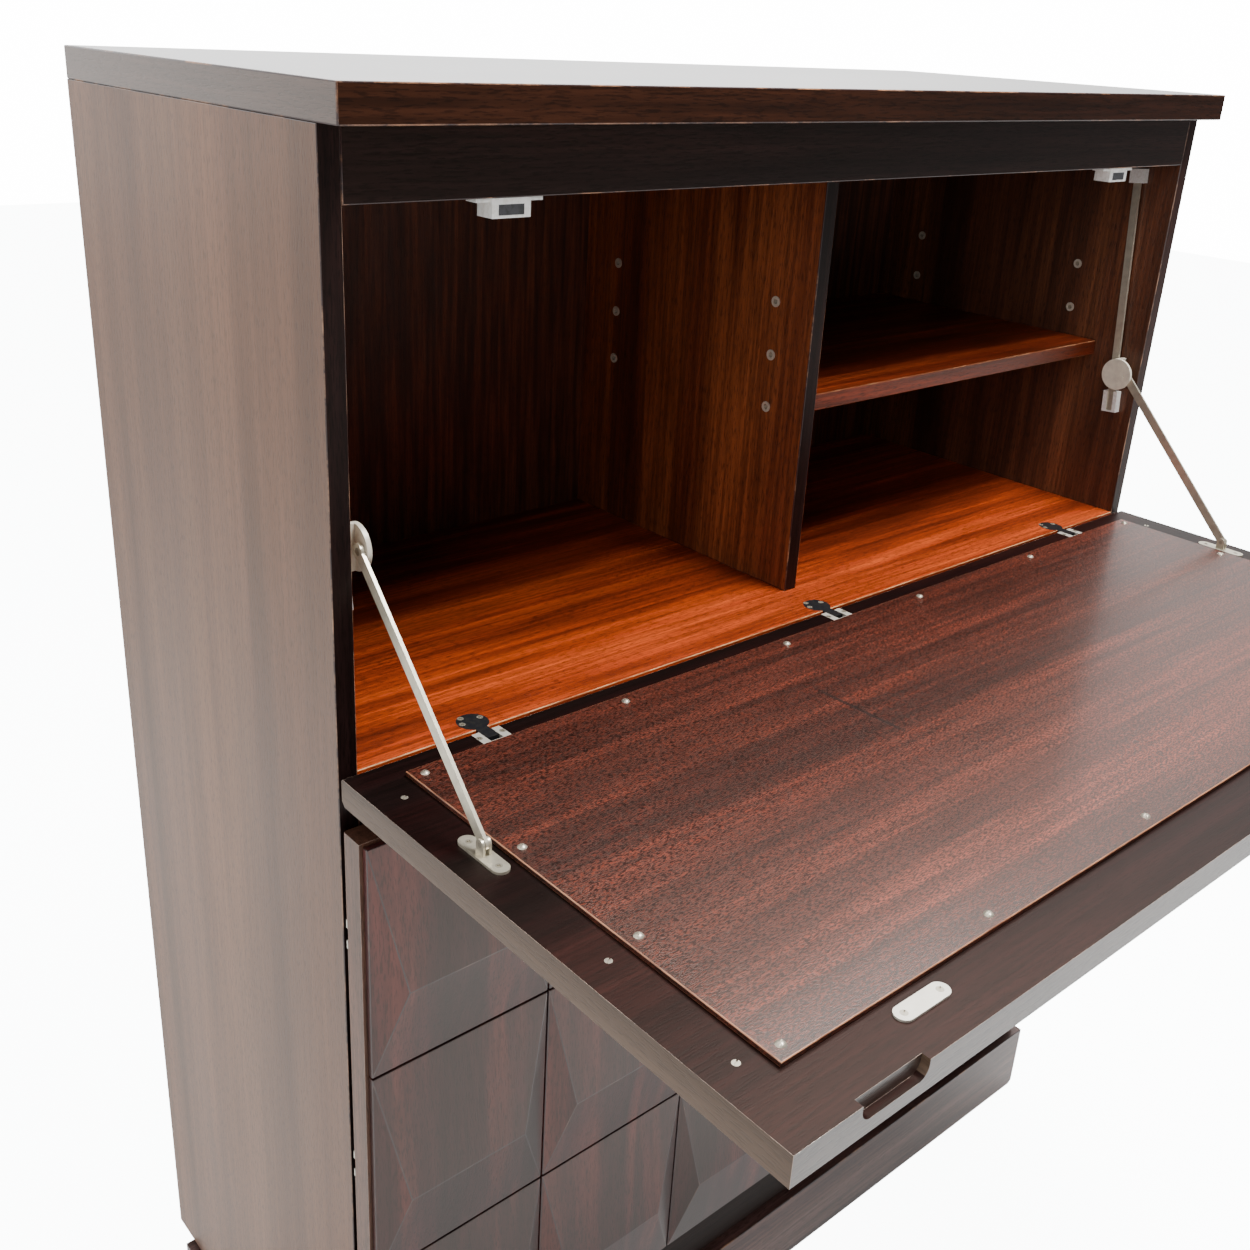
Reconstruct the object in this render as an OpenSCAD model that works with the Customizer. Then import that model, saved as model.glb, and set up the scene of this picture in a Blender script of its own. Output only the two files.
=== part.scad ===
// Drop-front secretary cabinet: carcass on a plinth, writing flap on two sliding stays,
// and a two-door cupboard below, with hip-shaped facet blocks on the flap and the doors.
// Frame: X to the right, Y to the back, Z up. The origin is the middle of the plinth's
// footprint on the floor. The flap is drawn open and the doors closed.

/* [Carcass] */
// Width over the two side panels
body_w = 1050; // [800:1:1400]
// Depth of the side panels
side_depth = 397; // [330:1:520]
// Height of the side panels
side_h = 1215; // [1150:1:1500]
// Height of the writing surface above the underside of the carcass
writing_rise = 772; // [600:1:860]
// Thickness of the carcass boards, divider and shelves
board_t = 16; // [14:0.5:19]
// Thickness of the top panel
top_t = 25; // [18:0.5:32]
// Overhang of the top panel in front of the side panels
top_reach = 25; // [0:0.5:40]
// Depth of the fascia rails, measured up and down
rail_h = 48; // [36:1:60]
// Height of the plain rail below the doors
lower_rail_h = 94; // [60:1:120]
// Thickness of the back panel
back_t = 16; // [6:0.5:18]
// Distance of the back panel inside the rear edges of the side panels
back_inset = 4; // [2:0.5:20]

/* [Plinth] */
// Height of the plinth boards
base_h = 95; // [60:1:140]
// Thickness of the plinth boards
base_t = 18; // [15:0.5:25]
// Depth of the plinth over its front and rear boards
base_depth = 378; // [300:1:480]
// Distance of the plinth's front face in front of the side panels
base_reach = 10; // [0:0.5:20]
// Distance that the plinth stands out past each side panel
base_side_reach = 7; // [0:0.5:15]
// Shadow gap between plinth and carcass
base_gap = 6; // [3:0.5:15]
// Bevel at the floor corners of the plinth boards
base_bevel = 7; // [2:0.5:12]

/* [Compartments] */
// Distance of the upper divider's left face from the middle of the cabinet
divider_x = -1; // [-200:1:200]
// Setback of the upper divider behind the side panels' front edges
divider_setback = 54; // [40:1:100]
// Setback of the upper shelf
shelf_setback = 60; // [55:1:150]
// Height of the lowest shelf-pin hole above the writing surface
pin_rise = 175; // [100:1:250]
// Spacing of the shelf-pin holes
pin_pitch = 50; // [30:1:60]
// Setback of the front row of pin holes
pin_front = 101; // [80:1:130]
// Setback of the rear row of pin holes
pin_rear = 325; // [250:1:340]
// Setback of the lower divider and the lower shelves
lower_setback = 40; // [30:1:120]
// Height of the lower shelf-pin holes above the cupboard floor
lower_pin_rise = 230; // [150:1:300]
// Gap at each end of a shelf
shelf_gap = 1; // [0.9:0.1:3]

/* [Flap and doors] */
// Thickness of the flap board and the door boards
front_t = 22; // [18:0.5:28]
// Gap between the closed fronts and the carcass, and between open flap and floor board
front_gap = 3; // [3:0.1:4]
// Gap between the closed flap and the top panel
flap_top_gap = 24; // [18:1:30]
// Distance of the door tops below the writing surface
door_drop = 44; // [42:1:60]
// Inset of the fronts from the outer faces of the side panels
front_inset = 1; // [0.5:0.1:3]
// Gap between the two doors
door_gap = 2; // [1.5:0.1:4]
// Bevel on the flap's outer lower edge
flap_bevel = 4; // [1:0.5:6]
// Thickness of the thin panel on the flap's inner face
panel_t = 4; // [3:0.5:6]
// Margin of the thin panel at the flap's ends
panel_side = 39; // [36:0.5:60]
// Margin of the thin panel at the flap's hinged edge
panel_rear = 23; // [22.5:0.5:40]
// Margin of the thin panel at the flap's free edge
panel_front = 45; // [40:0.5:70]
// Distance of the finger pulls from the flap's ends, to their middle
pull_x = 81; // [60:1:150]
// Length of a finger pull
pull_w = 56; // [40:1:90]
// Depth of a finger pull into the edge
pull_d = 6; // [5:0.5:10]
// Depth of a finger pull below the inner face
pull_h = 12; // [8:0.5:14]

/* [Facet blocks] */
// Columns of facet blocks on one door
door_cols = 3; // [2:1:4]
// Rows of facet blocks on a door
door_rows = 3; // [2:1:4]
// Rows of facet blocks on the flap
flap_rows = 2; // [1:1:3]
// Inset of the blocks from the edges of a door
facet_inset = 2; // [1:0.5:6]
// Inset of the blocks from the ends and the hinged edge of the flap
flap_facet_inset = 5; // [4:0.5:8]
// Inset of the blocks from the flap's free edge
flap_facet_top = 10; // [8:0.5:20]
// Gap between neighbouring blocks
facet_seam = 2; // [1:0.1:4]
// Thickness of a block at its edges
facet_edge = 5.5; // [3:0.1:8]
// Thickness of a block at its ridge
facet_ridge = 17; // [12:0.5:20]
// Distance of a ridge's ends from the block's ends
facet_hip = 28; // [15:1:45]
// Distance of a ridge above the block's lower edge
facet_low = 76; // [40:1:100]

/* [Hinges] */
// Diameter of the round hinge plates
plate_d = 26; // [24:0.5:30]
// Thickness of the inlaid hinge plates
plate_t = 2.5; // [2:0.1:3.5]
// Thickness of the inlaid hinge leaves
leaf_t = 2; // [1.5:0.1:2.5]
// Radius of a hinge pin
pin_r = 2; // [1.5:0.1:2.5]
// Running clearance around a pin, on the radius
pin_play = 0.05; // [0.02:0.01:0.1]
// Distance of the outer flap hinges from the ends of the cabinet
flap_hinge_x = 125; // [90:1:250]
// Distance of the outer door hinges from the door's ends
door_hinge_z = 90; // [60:1:140]

/* [Stays] */
// Distance of the stays from the side panels, to the middle of the arm
stay_in = 11.1; // [10:0.1:12]
// Setback of a stay rail's lower end
stay_low_y = 24; // [22:0.5:30]
// Height of a stay rail's lower end above the writing surface
stay_low_z = 118; // [110:1:130]
// Forward lean of the stay rails
stay_lean = 4.3; // [2:0.1:6]
// Distance of a rail's upper end below the fascia's lower edge
stay_top_drop = 8; // [4:1:30]
// Height of the arm's upper pivot above the rail's lower end, flap open
brake_lift = 46; // [44:1:60]
// Setback of the arm's upper pivot, flap open
brake_y = 9.6; // [8:0.1:12]
// Distance of the arm's lower pivot from the flap's hinged edge
foot_reach = 137.5; // [125:0.5:150]
// Height of the arm's lower pivot above the flap's inner face
foot_rise = 9.5; // [8:0.1:12]
// Diameter of the brake disc
disc_d = 35; // [33:0.5:36]
// Width of a stay arm
arm_w = 9; // [7:0.5:10]
// Thickness of a stay arm
arm_t = 2.6; // [2:0.1:3]

/* [Catches] */
// Distance of the flap's catches from the ends of the cabinet
catch_x = 143; // [120:1:220]
// Distance of the doors' catches from the middle of the cabinet
door_catch_x = 60; // [45:1:120]
// Width of a catch housing
catch_w = 32; // [28:1:36]
// Height of a catch housing
catch_h = 13; // [11:0.5:15]
// Gap between a closed strike plate and its magnet
catch_air = 0.5; // [0.3:0.1:1]
// Thickness of a strike plate
strike_t = 1.5; // [1:0.1:2]

/* [Hidden] */
$fn = 48;
half_w = body_w / 2;
inner_x = half_w - board_t;
front_y = base_reach - base_depth / 2;
back_y = front_y + side_depth;
back_face = back_y - back_inset - back_t;
z0 = base_h + base_gap;
z1 = z0 + side_h;
write_z = z0 + writing_rise;
fascia_z = z1 - rail_h;
middle_z = write_z - board_t - rail_h;
door_z0 = z0 + lower_rail_h;
door_z1 = write_z - door_drop;
door_h = door_z1 - door_z0;
cup_z = door_z0 + board_t;

front_w = body_w - 2 * front_inset;
door_w = (front_w - door_gap) / 2;
pin_off = board_t / 2;
swing_bevel = pin_off + 0.3 - sqrt(pow(pin_off + front_gap - 0.5, 2) - pow(pin_off, 2));
hinge_y = front_y - front_gap - pin_off;
flap_len = z1 - write_z + board_t - flap_top_gap;
flap_y1 = front_y - front_gap;
flap_y0 = flap_y1 - flap_len;
leaf_edge = pin_off - front_inset;

flap_pitch = (flap_len - flap_facet_inset - flap_facet_top) / flap_rows;
flap_cols = 2 * door_cols;
flap_col_w = (front_w - 2 * flap_facet_inset) / flap_cols;
door_pitch = (door_h - 2 * facet_inset) / door_rows;
door_col_w = (door_w - 2 * facet_inset) / door_cols;

hinge_mid_z = (door_z0 + door_z1) / 2;
flap_hinges = [-half_w + flap_hinge_x, 0, half_w - flap_hinge_x];
door_hinges = [door_z0 + door_hinge_z, hinge_mid_z, door_z1 - door_hinge_z];
tongue_w = 10.8;
tongue_gap = 0.4;
slot_w = tongue_w + 2 * tongue_gap;
lug_t = 2.4;
lug_r = 4.2;
leaf_w = 26;
leaf_back = 13;
pocket_y = pin_off + 1.4;
pocket_z = 5.2;
slack = 0.2;

csk_d = 5.2;
csk_h = 1.2;
shank_d = 2.6;
shank_l = 9;
panel_screw_d = 7;
panel_screw_in = 10;
frame_screw_in = 23;

catch_top_w = 55;
catch_top_t = 2.5;
catch_depth = 16;
magnet_w = 21;
magnet_h = 7;
magnet_z = catch_top_t + 1.5 + magnet_h / 2;
magnet_depth = 10;
strike_w = 46;
strike_d = 13;
strike_hole = 16.5;
strike_y = fascia_z - magnet_z - (write_z - board_t);
magnet_front = strike_t + catch_air - front_gap;

sleeve_r = 4;
sleeve_l = 7.5;
flange_r = 5;
flange_t = 0.8;
shelf_pin_r = 2.5;
upper_rows = [0, 1, 2];
shelf_z = write_z + pin_rise + shelf_pin_r;
lower_shelf_z = cup_z + lower_pin_rise + pin_pitch + shelf_pin_r;

rail_w = 8;
rail_t = 3;
rail_u = stay_in - 5.6;
rail_slack = 0.3;
socket_w = 17;
socket_h = 24;
socket_top_h = 15;
socket_u = 9;
stay_len = (fascia_z - stay_top_drop - write_z - stay_low_z) / cos(stay_lean);
arm_slack = 0.8;
disc_t = 3.6;
disc_back = 9.3;
foot_len = 50;
foot_w = 13;
foot_t = 2;
foot_hole = 17;
cheek_t = 1.8;
foot_y = flap_y1 - foot_reach;
foot_z = write_z + foot_rise;
brake_z = write_z + stay_low_z + brake_lift;
arm_dy = front_y + brake_y - foot_y;
arm_dz = brake_z - foot_z;
arm_len = sqrt(arm_dy * arm_dy + arm_dz * arm_dz);
arm_tilt = atan2(arm_dz, arm_dy);

// ---- shared shapes ----

// A box given by its lowest and highest corners
module block(low, high) {
    translate(low) cube(high - low);
}

// A bar of round ends along X, its middle at the origin, standing on z = 0
module stadium(length, width, height) {
    linear_extrude(height) union() {
        square([length - width, width], center = true);
        for (s = [-1, 1]) translate([s * (length - width) / 2, 0]) circle(d = width);
    }
}

// A flush screw, head up at z = 0. With no drive it also cuts its own hole.
module flush_screw(drive = "none") {
    difference() {
        rotate_extrude() polygon([[0, 0], [csk_d / 2, 0], [csk_d / 2, -csk_h],
            [shank_d / 2, -csk_h], [shank_d / 2, -shank_l], [0, -shank_l]]);
        if (drive == "slot") drive_cut(2 * csk_d, 0);
        if (drive == "cross") for (turn = [0, 90]) drive_cut(0.62 * csk_d, turn);
    }
}

drive_turn = 30;
drive_w = 1;
drive_d = 0.9;

module drive_cut(length, turn) {
    rotate(drive_turn + turn) translate([-length / 2, -drive_w / 2, -drive_d]) cube([length, drive_w, 2]);
}

// The turn that stands a hinge's own frame on the left door: X goes down, Z points inwards
module door_frame(z) {
    translate([-inner_x - pin_off, hinge_y, z]) rotate([0, 90, 0]) children();
}

// The turn that shuts a leaf drawn in its open position
module shut() {
    rotate([-90, 0, 0]) children();
}

module mirrored_x(side) {
    mirror([side > 0 ? 1 : 0, 0, 0]) children();
}

// ---- hinges: X along the pin, Z up through the face that the plate lies in ----

plate_y = pin_off + front_gap + plate_d / 2 - 0.5;
plate_screws = [[9, 3], [-5, 9.5], [-9, 1]];

module hinge_plate() {
    difference() {
        union() {
            intersection() {
                translate([0, plate_y, pin_off - plate_t]) cylinder(d = plate_d, h = plate_t);
                block([-plate_d, pin_off + front_gap + slack, 0], [plate_d, plate_y + plate_d, plate_d]);
            }
            block([-tongue_w / 2, -lug_r, pin_off - plate_t], [tongue_w / 2, plate_y, pin_off]);
            block([-tongue_w / 2, -lug_r, 0], [tongue_w / 2, lug_r, pin_off]);
            rotate([0, 90, 0]) cylinder(r = lug_r, h = tongue_w, center = true);
        }
        rotate([0, 90, 0]) cylinder(r = pin_r + pin_play, h = 2 * tongue_w, center = true);
        plate_screw_set();
    }
}

module plate_screw_set(drive = "none") {
    for (p = plate_screws) translate([p[0], plate_y + p[1], pin_off]) flush_screw(drive);
}

// The space that a plate and its screws take out of a board
module plate_cut() {
    translate([0, plate_y, pin_off - plate_t]) cylinder(d = plate_d, h = plate_t + 1);
    block([-tongue_w / 2, 0, pin_off - plate_t], [tongue_w / 2, plate_y, pin_off + 1]);
    plate_screw_set();
}

module leaf_outline() {
    translate([-leaf_w / 2, -leaf_back + 4]) square([leaf_w, leaf_back - 4 + leaf_edge - slack]);
    translate([-leaf_w / 2 + 4, -leaf_back]) square([leaf_w - 8, 5]);
    for (s = [-1, 1]) translate([s * (leaf_w / 2 - 4), -leaf_back + 4]) circle(r = 4);
}

module hinge_leaf() {
    difference() {
        union() {
            translate([0, 0, pin_off - leaf_t]) linear_extrude(leaf_t) leaf_outline();
            for (s = [-1, 1]) translate([s * (slot_w + lug_t) / 2, 0, 0]) {
                block([-lug_t / 2, -lug_r, 0], [lug_t / 2, lug_r, pin_off - leaf_t]);
                rotate([0, 90, 0]) cylinder(r = lug_r, h = lug_t, center = true);
            }
        }
        block([-slot_w / 2, -pocket_y, -pin_off], [slot_w / 2, 2 * pin_off, 2 * pin_off]);
        rotate([0, 90, 0]) cylinder(r = pin_r, h = leaf_w, center = true);
        leaf_screw_set();
    }
}

leaf_screw_x = 10.8;

module leaf_screw_set(drive = "none") {
    for (s = [-1, 1]) translate([s * leaf_screw_x, -1, pin_off]) flush_screw(drive);
}

// The space that a leaf, its lugs and the passing tongue take out of a front
module leaf_cut() {
    translate([0, 0, pin_off - leaf_t]) linear_extrude(leaf_t + 1) {
        leaf_outline();
        translate([-leaf_w / 2, 0]) square([leaf_w, 2 * pin_off]);
    }
    block([-slot_w / 2 - lug_t - slack, -pocket_y, -pocket_z],
        [slot_w / 2 + lug_t + slack, lug_r + 2 * slack, pin_off]);
    block([-slot_w / 2, 0, pin_off - plate_t - slack], [slot_w / 2, 2 * pin_off, pin_off + 1]);
    leaf_screw_set();
}

module hinge_pin() {
    rotate([0, 90, 0]) cylinder(r = pin_r, h = slot_w + 2 * lug_t, center = true);
}

// ---- carcass ----

module top_panel() {
    color([0.13, 0.06, 0.045])
        block([-half_w, front_y - top_reach, z1], [half_w, back_y, z1 + top_t]);
}

// One side panel, drawn on the left
module side_board() {
    difference() {
        block([-half_w, front_y, z0], [-inner_x, back_y, z1]);
        for (z = upper_pin_z) side_holes(z);
        for (z = lower_pin_z) side_holes(z);
        for (z = door_hinges) door_frame(z) plate_cut();
    }
}

upper_pin_z = [for (i = upper_rows) write_z + pin_rise + i * pin_pitch];
lower_pin_z = [for (i = upper_rows) cup_z + lower_pin_rise + i * pin_pitch];

module side_holes(z) {
    for (y = [pin_front, pin_rear])
        translate([-inner_x, front_y + y, z]) rotate([0, -90, 0]) cylinder(r = sleeve_r, h = sleeve_l);
}

module side_left() {
    color([0.14, 0.065, 0.05]) side_board();
}

module side_right() {
    color([0.14, 0.065, 0.05]) mirrored_x(1) side_board();
}

module back_panel() {
    color([0.12, 0.055, 0.035]) block([-inner_x, back_face, z0], [inner_x, back_face + back_t, z1]);
}

module rail(low_z, high_z) {
    block([-inner_x, front_y, low_z], [inner_x, front_y + board_t, high_z]);
}

module fascia_rail() {
    color([0.1, 0.05, 0.04]) rail(fascia_z, z1);
}

module middle_rail() {
    color([0.1, 0.05, 0.04]) rail(middle_z, middle_z + rail_h);
}

module bottom_rail() {
    color([0.1, 0.05, 0.04]) rail(z0, door_z0);
}

module bottom_panel() {
    color([0.12, 0.055, 0.035])
        block([-inner_x, front_y + board_t, z0], [inner_x, back_face, z0 + board_t]);
}

module compartment_floor() {
    color([0.42, 0.17, 0.06]) difference() {
        block([-inner_x, front_y, write_z - board_t], [inner_x, back_face, write_z]);
        for (x = flap_hinges) translate([x, hinge_y, write_z - pin_off]) plate_cut();
    }
}

module cupboard_floor() {
    color([0.3, 0.12, 0.05])
        block([-inner_x, front_y, door_z0], [inner_x, back_face, cup_z]);
}

// A standing divider with sleeve holes from both faces
module divider(x, low_z, high_z, setback, hole_z) {
    difference() {
        block([x, front_y + setback, low_z], [x + board_t, back_face, high_z]);
        for (z = hole_z, y = [pin_front, pin_rear], s = [0, 1])
            translate([x + s * board_t, front_y + y, z])
                rotate([0, s ? -90 : 90, 0]) cylinder(r = sleeve_r, h = sleeve_l);
    }
}

module upper_divider() {
    color([0.3, 0.13, 0.06]) divider(divider_x, write_z, z1, divider_setback, upper_pin_z);
}

module lower_divider() {
    color([0.25, 0.11, 0.05])
        divider(-board_t / 2, cup_z, write_z - board_t, lower_setback, lower_pin_z);
}

module shelf(x0, x1, z, setback) {
    block([x0 + shelf_gap, front_y + setback, z], [x1 - shelf_gap, back_face - shelf_gap, z + board_t]);
}

module upper_shelf() {
    color([0.36, 0.15, 0.06]) shelf(divider_x + board_t, inner_x, shelf_z, shelf_setback);
}

module lower_shelf_left() {
    color([0.3, 0.12, 0.05]) shelf(-inner_x, -board_t / 2, lower_shelf_z, lower_setback);
}

module lower_shelf_right() {
    color([0.3, 0.12, 0.05]) shelf(board_t / 2, inner_x, lower_shelf_z, lower_setback);
}

// Where shelf-pin holes open: face position and the way out of the hole along X
upper_faces = [[-inner_x, 1], [divider_x, -1], [divider_x + board_t, 1], [inner_x, -1]];
lower_faces = [[-inner_x, 1], [-board_t / 2, -1], [board_t / 2, 1], [inner_x, -1]];

module sleeve() {
    difference() {
        union() {
            translate([0, 0, -sleeve_l]) cylinder(r = sleeve_r, h = sleeve_l);
            cylinder(r = flange_r, h = flange_t);
        }
        translate([0, 0, -sleeve_l + 1]) cylinder(r = shelf_pin_r, h = sleeve_l);
    }
}

module at_face(face, y, z) {
    translate([face[0], front_y + y, z]) rotate([0, face[1] * 90, 0]) children();
}

module shelf_sleeves() {
    color([0.75, 0.72, 0.66]) {
        for (f = upper_faces, y = [pin_front, pin_rear], z = upper_pin_z) at_face(f, y, z) sleeve();
        for (f = lower_faces, y = [pin_front, pin_rear], z = lower_pin_z) at_face(f, y, z) sleeve();
    }
}

module shelf_pin() {
    translate([0, 0, -sleeve_l + 1]) cylinder(r = shelf_pin_r, h = sleeve_l + 6);
}

module shelf_pins() {
    color([0.7, 0.7, 0.72]) for (y = [pin_front, pin_rear]) {
        for (f = [upper_faces[2], upper_faces[3]]) at_face(f, y, upper_pin_z[0]) shelf_pin();
        for (f = lower_faces) at_face(f, y, lower_pin_z[1]) shelf_pin();
    }
}

// ---- plinth ----

base_x = half_w + base_side_reach;
base_y0 = front_y - base_reach;
base_y1 = base_y0 + base_depth;

// A plinth board across the cabinet, its two floor corners bevelled
module base_board(y) {
    translate([0, y + base_t, 0]) rotate([90, 0, 0]) linear_extrude(base_t) polygon([
        [-base_x + base_bevel, 0], [base_x - base_bevel, 0], [base_x, base_bevel],
        [base_x, base_h], [-base_x, base_h], [-base_x, base_bevel]]);
}

module base_front() {
    color([0.15, 0.07, 0.055]) base_board(base_y0);
}

module base_rear() {
    color([0.15, 0.07, 0.055]) base_board(base_y1 - base_t);
}

module base_end(side) {
    mirrored_x(side)
        block([-base_x, base_y0 + base_t, base_bevel], [-base_x + base_t, base_y1 - base_t, base_h]);
}

module base_end_left() {
    color([0.15, 0.07, 0.055]) base_end(-1);
}

module base_end_right() {
    color([0.15, 0.07, 0.055]) base_end(1);
}

// A bearer under the middle of the carcass
module base_brace() {
    color([0.15, 0.07, 0.055])
        block([-base_t / 2, base_y0 + base_t, 0], [base_t / 2, base_y1 - base_t, base_h]);
}

spacer_w = 40;
spacer_in = 5;

// Battens that hold the carcass above the plinth and leave the shadow gap
module base_spacers() {
    x0 = half_w - spacer_in;
    y0 = front_y + spacer_in;
    color([0.04, 0.04, 0.04]) {
        for (y = [y0, base_y1 - spacer_w]) block([-x0, y, base_h], [x0, y + spacer_w, z0]);
        for (x = [-x0, x0 - spacer_w])
            block([x, y0 + spacer_w + 1, base_h], [x + spacer_w, base_y1 - spacer_w - 1, z0]);
    }
}

// ---- magnetic catches: hung under a rail, magnet towards the front ----

module catch_places() {
    for (s = [-1, 1]) {
        translate([s * (half_w - catch_x), front_y, fascia_z]) children();
        translate([s * door_catch_x, front_y, middle_z]) children();
    }
}

module catch_housing() {
    difference() {
        union() {
            translate([-catch_top_w / 2, 1, -catch_top_t])
                cube([catch_top_w, catch_depth - 4, catch_top_t]);
            translate([-catch_w / 2, magnet_front + slack, -catch_h])
                cube([catch_w, catch_depth - magnet_front, catch_h]);
        }
        translate([-magnet_w / 2, magnet_front - 1, -magnet_z - magnet_h / 2])
            cube([magnet_w, magnet_depth + 1, magnet_h]);
    }
}

module magnetic_catches() {
    color([0.93, 0.92, 0.9]) catch_places() catch_housing();
}

module catch_magnets() {
    color([0.12, 0.12, 0.13]) catch_places()
        translate([-magnet_w / 2, magnet_front, -magnet_z - magnet_h / 2])
            cube([magnet_w, magnet_depth, magnet_h]);
}

// ---- hinge plates on the carcass ----

module hinge_places() {
    for (x = flap_hinges) translate([x, hinge_y, write_z - pin_off]) children();
    for (s = [-1, 1], z = door_hinges) mirrored_x(s) door_frame(z) children();
}

module hinge_plates() {
    color([0.05, 0.05, 0.055]) hinge_places() hinge_plate();
}

module hinge_plate_screws() {
    color([0.6, 0.6, 0.6]) hinge_places() plate_screw_set("cross");
}

// ---- flap ----

// The finger pull's cut, its mouth in the plane y = 0 and its open side in z = 0
module pull_cut() {
    corner = 8;
    translate([0, pull_d, 0]) rotate([90, 0, 0]) linear_extrude(pull_d + 1) {
        translate([-pull_w / 2, -pull_h + corner]) square([pull_w, pull_h]);
        translate([-pull_w / 2 + corner, -pull_h]) square([pull_w - 2 * corner, pull_h]);
        for (s = [-1, 1]) translate([s * (pull_w / 2 - corner), -pull_h + corner]) circle(r = corner);
    }
}

// The flap board, its hinged edge bevelled on both faces
module flap_board() {
    color([0.17, 0.08, 0.075]) difference() {
        translate([-front_w / 2, 0, 0]) rotate([90, 0, 90]) linear_extrude(front_w) polygon([
            [flap_y0, write_z], [flap_y0, write_z - front_t],
            [flap_y1 - flap_bevel, write_z - front_t], [flap_y1, write_z - front_t + flap_bevel],
            [flap_y1, write_z - swing_bevel], [flap_y1 - swing_bevel, write_z]]);
        for (s = [-1, 1]) translate([s * (front_w / 2 - pull_x), flap_y0, write_z]) pull_cut();
        for (x = flap_hinges) translate([x, hinge_y, write_z - pin_off]) leaf_cut();
        panel_screw_places() panel_screw();
        frame_screw_places() flush_screw();
        flap_strike_places() strike_screw_set();
        for (s = [-1, 1]) stay_foot_place(s) foot_screw_set();
    }
}

panel_x = front_w / 2 - panel_side;
panel_y0 = flap_y0 + panel_front;
panel_y1 = flap_y1 - panel_rear;

// The thin panel, notched round each hinge leaf
module flap_panel() {
    color([0.3, 0.14, 0.1]) difference() {
        block([-panel_x, panel_y0, write_z], [panel_x, panel_y1, write_z + panel_t]);
        panel_screw_places() panel_screw();
        for (x = flap_hinges) translate([x, hinge_y, write_z - 1])
            linear_extrude(panel_t + 2) leaf_outline();
    }
}

// Screws along the thin panel's edges: a long row front and rear, and two between at each end
panel_cols = 6;
panel_rows = 4;

module panel_screw_places() {
    dx = 2 * (panel_x - panel_screw_in) / (panel_cols - 1);
    dy = (panel_y1 - panel_y0 - 2 * panel_screw_in) / (panel_rows - 1);
    for (i = [0 : panel_cols - 1], j = [0 : panel_rows - 1])
        if (i == 0 || i == panel_cols - 1 || j == 0 || j == panel_rows - 1)
            translate([-panel_x + panel_screw_in + i * dx, panel_y0 + panel_screw_in + j * dy,
                write_z + panel_t]) children();
}

// A domed screw whose head sits on z = 0
module panel_screw() {
    dome_r = 4.2;
    dome_h = 1.9;
    intersection() {
        translate([0, 0, dome_h - dome_r]) sphere(r = dome_r);
        cylinder(d = panel_screw_d, h = dome_h);
    }
    translate([0, 0, -shank_l]) cylinder(d = shank_d, h = shank_l + 0.5);
}

module panel_screws() {
    color([0.72, 0.7, 0.66]) panel_screw_places() difference() {
        panel_screw();
        translate([0, 0, 0.8 + drive_d]) drive_cut(2 * panel_screw_d, 0);
    }
}

// Flush screws in the flap's end margins, at the quarter points of the facet rows
module frame_screw_places() {
    start = flap_y1 - flap_facet_inset;
    for (s = [-1, 1], q = [0.2, 1.25, 1.75])
        translate([s * (front_w / 2 - frame_screw_in), start - q * flap_pitch, write_z]) children();
}

module frame_screws() {
    color([0.5, 0.45, 0.4]) frame_screw_places() flush_screw("slot");
}

// One facet block: X across, Z up, its back on y = 0 and its ridge towards -Y
module facet_block(w, h) {
    low = min(facet_low, h * 0.45);
    hip = min(facet_hip, w * 0.35);
    intersection() {
        rotate([90, 0, 90]) translate([0, 0, -w / 2]) linear_extrude(w) polygon([
            [0, 0], [-facet_edge, 0], [-facet_ridge, low], [-facet_edge, h], [0, h]]);
        linear_extrude(h) polygon([[-w / 2, 0], [-w / 2, -facet_edge],
            [-w / 2 + hip, -facet_ridge], [w / 2 - hip, -facet_ridge],
            [w / 2, -facet_edge], [w / 2, 0]]);
    }
}

// A field of blocks from its lower left corner
module facet_field(cols, rows, pitch_x, pitch_z) {
    for (i = [0 : cols - 1], j = [0 : rows - 1])
        translate([(i + 0.5) * pitch_x, 0, j * pitch_z + facet_seam / 2])
            facet_block(pitch_x - facet_seam, pitch_z - facet_seam);
}

module flap_facets() {
    color([0.16, 0.075, 0.06])
        translate([-front_w / 2 + flap_facet_inset, flap_y1 - flap_facet_inset, write_z - front_t])
            rotate([90, 0, 0]) facet_field(flap_cols, flap_rows, flap_col_w, flap_pitch);
}

module strike() {
    difference() {
        stadium(strike_w, strike_d, strike_t);
        strike_screw_set();
    }
}

module strike_screw_set(drive = "none") {
    for (s = [-1, 1]) translate([s * strike_hole, 0, strike_t]) flush_screw(drive);
}

module flap_strike_places() {
    for (s = [-1, 1]) translate([s * (half_w - catch_x), flap_y1 - strike_y, write_z]) children();
}

module flap_strikes() {
    color([0.78, 0.77, 0.74]) flap_strike_places() strike();
}

module flap_hinge_leaves() {
    color([0.86, 0.85, 0.83]) for (x = flap_hinges)
        translate([x, hinge_y, write_z - pin_off]) hinge_leaf();
}

module flap_hinge_pins() {
    color([0.6, 0.6, 0.62]) for (x = flap_hinges)
        translate([x, hinge_y, write_z - pin_off]) hinge_pin();
}

module flap_fitting_screws() {
    color([0.6, 0.6, 0.6]) {
        flap_strike_places() strike_screw_set("slot");
        for (s = [-1, 1]) stay_foot_place(s) foot_screw_set("cross");
        for (x = flap_hinges) translate([x, hinge_y, write_z - pin_off]) leaf_screw_set("cross");
    }
}

// ---- doors, drawn on the left ----

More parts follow.
